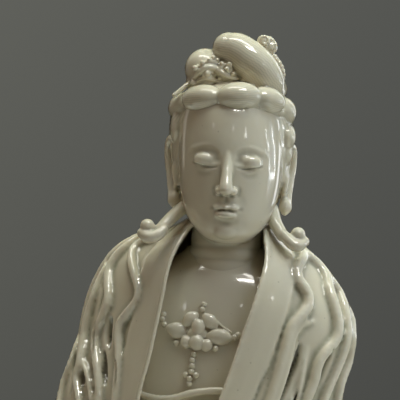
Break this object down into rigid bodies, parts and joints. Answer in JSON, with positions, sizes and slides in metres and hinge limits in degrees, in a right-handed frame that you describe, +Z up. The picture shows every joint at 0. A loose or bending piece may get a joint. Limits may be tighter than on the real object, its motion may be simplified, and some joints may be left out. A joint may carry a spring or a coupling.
{
  "type": "guanyin figure",
  "caption": "Seated Guanyin in white glazed porcelain, with a high topknot, an open robe and a lotus pendant, hands hidden in the sleeves, on a low oval plinth.",
  "frame": {"origin": "centre of the plinth's underside, where it stands", "axes": "+Z up, -Y the way the face looks, +X towards the figure's left hand"},
  "size_m": [0.216, 0.152, 0.3001],
  "materials": {
    "porcelain": "glossy ivory-white glaze, greyer and slightly green where it pools in folds"
  },
  "bodies": {
    "root": {"guanyin_figure": "porcelain"}
  },
  "joints": []
}
